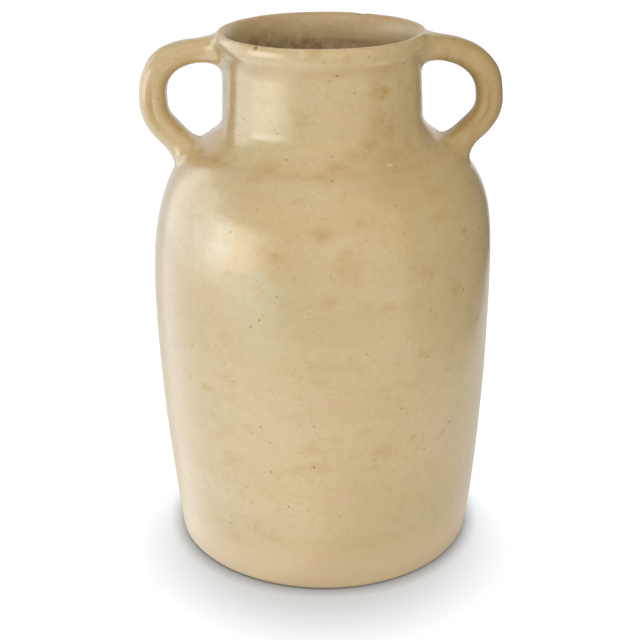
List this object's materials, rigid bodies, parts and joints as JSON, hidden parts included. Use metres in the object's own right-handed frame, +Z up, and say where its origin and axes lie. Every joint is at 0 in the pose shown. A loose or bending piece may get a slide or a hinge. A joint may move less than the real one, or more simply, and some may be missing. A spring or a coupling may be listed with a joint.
{
  "type": "vase",
  "caption": "Tall jar vase in sand-coloured glazed earthenware, with a wide cylindrical body, a short rolled-lip neck and small strap handles from lip to shoulder.",
  "frame": {"origin": "centre of the foot, on the surface the vase stands on", "axes": "+Z up along the axis of the pot; the handles lie along X, and the pictured face looks along -Y"},
  "size_m": [0.2006, 0.1934, 0.3],
  "materials": {
    "sand_glaze": "satin to gloss honey-cream glaze with fine dark specks",
    "bare_clay": "matt unglazed buff clay"
  },
  "bodies": {
    "root": {"floor_disc": "bare_clay", "body_wall": "sand_glaze", "neck_collar": "sand_glaze", "rolled_lip": "sand_glaze", "left_handle": "sand_glaze", "right_handle": "sand_glaze", "left_upper_luting": "sand_glaze", "left_lower_luting": "sand_glaze", "right_upper_luting": "sand_glaze", "right_lower_luting": "sand_glaze"}
  },
  "joints": []
}
